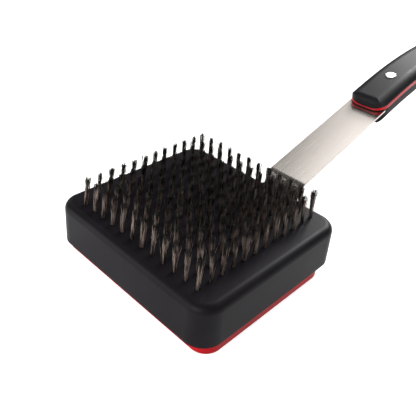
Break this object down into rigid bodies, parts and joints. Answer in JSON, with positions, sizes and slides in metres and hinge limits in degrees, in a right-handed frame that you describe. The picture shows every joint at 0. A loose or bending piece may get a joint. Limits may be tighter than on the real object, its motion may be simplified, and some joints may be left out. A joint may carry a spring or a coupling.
{
  "type": "grill cleaning brush",
  "caption": "Wide grill cleaning brush: moulded block with steel-wire tufts, base plate, cranked steel neck, bowed two-shell grip and a swinging wire bail to hang it by.",
  "frame": {"origin": "middle of the brush block's footprint, on the underside of the base plate", "axes": "+Z the way the tufts point, +X from the brush block towards the grip, Y across the brush"},
  "size_m": [0.4496, 0.1262, 0.0842],
  "materials": {
    "block_black": "moulded, fine satin",
    "base_red": "moulded, satin gloss",
    "strip_steel": "fine brushed along its length",
    "wire_steel": "drawn wire, dull",
    "screw_steel": "zinc plated",
    "rivet_steel": "turned and polished",
    "grip_black": "soft moulded, matt",
    "grip_red": "moulded, satin gloss",
    "bail_steel": "drawn wire, polished"
  },
  "bodies": {
    "brush": {"brush_block": "block_black", "base_plate": "base_red", "neck_strip": "strip_steel", "grip_lower": "grip_black", "grip_liner": "grip_red", "grip_upper": "grip_black", "base_screws": "screw_steel", "neck_screws": "screw_steel", "grip_rivets": "rivet_steel", "tuft_anchors": "wire_steel", "tuft_row_01": "wire_steel", "tuft_row_02": "wire_steel", "tuft_row_03": "wire_steel", "tuft_row_04": "wire_steel", "tuft_row_05": "wire_steel", "tuft_row_06": "wire_steel", "tuft_row_07": "wire_steel", "tuft_row_08": "wire_steel", "tuft_row_09": "wire_steel", "tuft_row_10": "wire_steel", "tuft_row_11": "wire_steel", "tuft_row_12": "wire_steel"},
    "bail": {"hang_bail": "bail_steel"}
  },
  "joints": [
    {"name": "bail_swing", "type": "hinge", "parent": "brush", "child": "bail", "pos_m": [0.38126, 0, 0.06344], "axis": [0, -1, 0], "range_deg": [-76, 210]}
  ]
}
